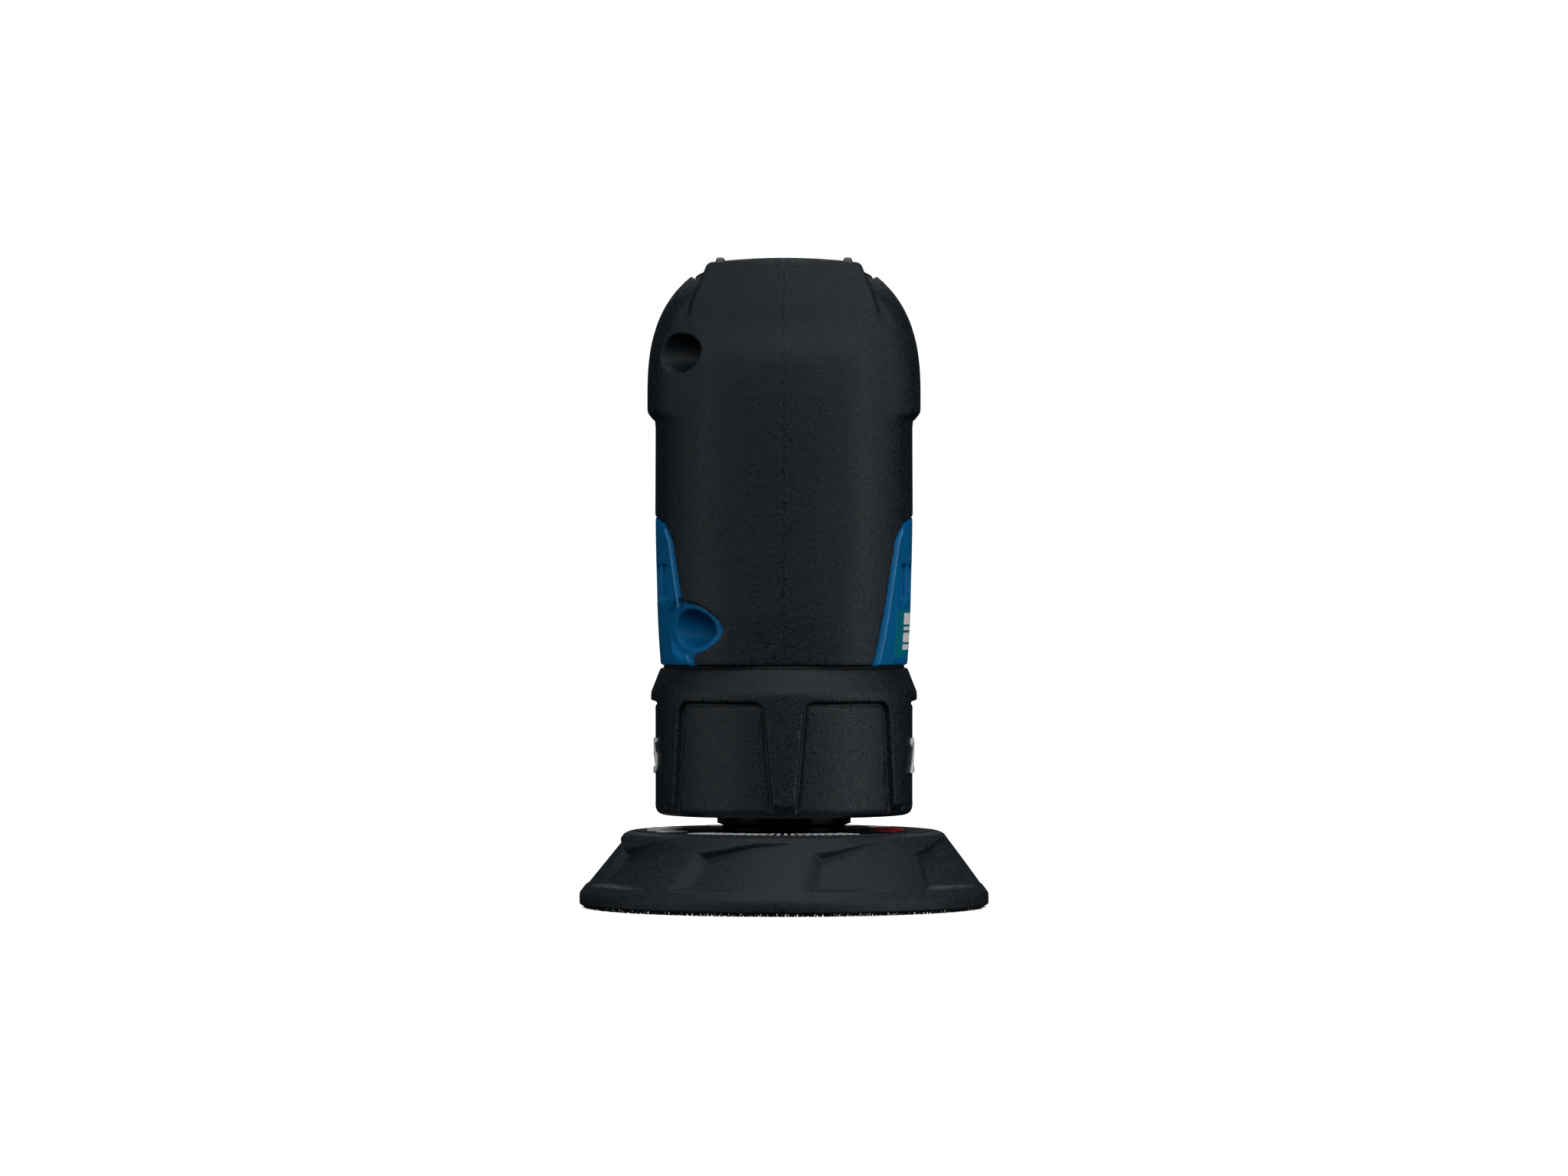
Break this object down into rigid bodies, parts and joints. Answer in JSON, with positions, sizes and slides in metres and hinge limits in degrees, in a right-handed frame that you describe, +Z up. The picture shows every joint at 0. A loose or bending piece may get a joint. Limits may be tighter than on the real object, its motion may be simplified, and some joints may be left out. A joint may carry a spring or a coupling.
{
  "type": "orbital sander",
  "caption": "Compact cordless random-orbit sander: vertical motor barrel with palm grip, paddle switch, twist collar, small round pad and a slide-in battery handle.",
  "frame": {"origin": "on the motor's axis, at the working face of the pad", "axes": "+Z up the motor's axis, away from the work; +Y out along the battery handle; +X to the right of a person who looks along +Y at the nose"},
  "size_m": [0.075, 0.1542, 0.1184],
  "materials": {
    "shell_blue": "moulded nylon, fine grain",
    "grip_black": "soft grained overmould",
    "screw_steel": "black oxide",
    "bearing_steel": "ground",
    "stator_iron": "stacked laminations",
    "magnet_iron": "sintered",
    "copper_wire": "enamelled",
    "contact_brass": "plated",
    "bracket_alloy": "die cast",
    "plate_alloy": "satin",
    "seal_rubber": "matt",
    "board_green": "solder mask",
    "capacitor_sleeve": "shrink sleeve",
    "switch_black": "moulded",
    "wire_red": "insulation",
    "plunger_red": "moulded",
    "fan_black": "moulded",
    "hub_steel": "turned",
    "weight_steel": "sintered",
    "collar_black": "fine grain",
    "spindle_black": "black gloss",
    "pad_grey": "moulded polyurethane foam",
    "cover_black": "printed film",
    "hook_black": "hook fleece",
    "paddle_black": "fine grain",
    "dial_black": "moulded",
    "spring_steel": "drawn wire",
    "case_black": "moulded",
    "cell_can": "shrink wrapped",
    "cap_black": "fine grain",
    "button_blue": "moulded"
  },
  "bodies": {
    "housing": {"housing_left": "shell_blue", "housing_right": "shell_blue", "grip_left": "grip_black", "grip_right": "grip_black", "clamshell_screws": "screw_steel", "stator_core": "stator_iron", "stator_windings": "copper_wire", "bearing_bracket": "bracket_alloy", "bracket_screws": "screw_steel", "lower_bearing": "bearing_steel", "upper_bearing": "bearing_steel", "upper_bearing_cup": "seal_rubber", "control_board": "board_green", "capacitor": "capacitor_sleeve", "switch_body": "switch_black", "dial_potentiometer": "board_green", "battery_terminals": "switch_black", "lead_wires": "wire_red", "paddle_pin": "hub_steel", "paddle_spring": "spring_steel"},
    "rotor": {"motor_shaft": "hub_steel", "rotor_magnets": "magnet_iron", "cooling_fan": "fan_black", "lower_inner_race": "bearing_steel", "upper_inner_race": "bearing_steel", "orbit_hub": "hub_steel", "counterweight": "weight_steel", "counterweight_screws": "screw_steel", "pad_bearing_outer": "bearing_steel"},
    "pad": {"pad_spindle": "spindle_black", "pad_bearing_inner": "bearing_steel", "spindle_circlip": "spring_steel", "backing_plate": "plate_alloy", "pad_stud": "hub_steel", "pad_body": "pad_grey", "pad_cover_disc": "cover_black", "hook_layer": "hook_black"},
    "collar": {"orbit_collar": "collar_black", "collar_seal": "seal_rubber"},
    "paddle": {"paddle": "paddle_black"},
    "plunger": {"switch_plunger": "plunger_red"},
    "dial": {"speed_dial": "dial_black"},
    "battery": {"battery_case": "case_black", "battery_cells": "cell_can", "battery_contacts": "contact_brass", "battery_cap": "cap_black", "release_spring_left": "spring_steel", "release_spring_right": "spring_steel"},
    "button_left": {"release_button_left": "button_blue"},
    "button_right": {"release_button_right": "button_blue"}
  },
  "joints": [
    {"name": "spindle_spin", "type": "hinge", "parent": "housing", "child": "rotor", "pos_m": [0, 0, 0.05], "axis": [0, 0, 1], "continuous": true},
    {"name": "pad_spin", "type": "hinge", "parent": "rotor", "child": "pad", "pos_m": [0, 0.00125, 0.025], "axis": [0, 0, 1], "continuous": true},
    {"name": "collar_twist", "type": "hinge", "parent": "housing", "child": "collar", "pos_m": [0, 0, 0.03], "axis": [0, 0, 1], "range_deg": [0, 30]},
    {"name": "paddle_press", "type": "hinge", "parent": "housing", "child": "paddle", "pos_m": [0, -0.0075, 0.1128], "axis": [-1, 0, 0], "range_deg": [0, 3], "stiffness_Nm_per_rad": 0.8, "springref_deg": -5.73, "deforming": ["paddle_spring"]},
    {"name": "plunger_travel", "type": "slide", "parent": "housing", "child": "plunger", "axis": [0, 0, -1], "range_m": [0, 0.002]},
    {"name": "dial_turn", "type": "hinge", "parent": "housing", "child": "dial", "pos_m": [0, 0.073, 0.1112], "axis": [1, 0, 0], "range_deg": [0, 240]},
    {"name": "battery_slide", "type": "slide", "parent": "housing", "child": "battery", "axis": [0, 1, 0], "range_m": [0, 0.07]},
    {"name": "release_left", "type": "slide", "parent": "battery", "child": "button_left", "axis": [1, 0, 0], "range_m": [0, 0.0016], "stiffness_N_per_m": 300, "springref_m": -0.003, "deforming": ["release_spring_left"]},
    {"name": "release_right", "type": "slide", "parent": "battery", "child": "button_right", "axis": [-1, 0, 0], "range_m": [0, 0.0016], "stiffness_N_per_m": 300, "springref_m": -0.003, "deforming": ["release_spring_right"]}
  ],
  "couplings": [
    {"joint": "plunger_travel", "follows": "paddle_press", "m_per_rad": 0.0375}
  ]
}
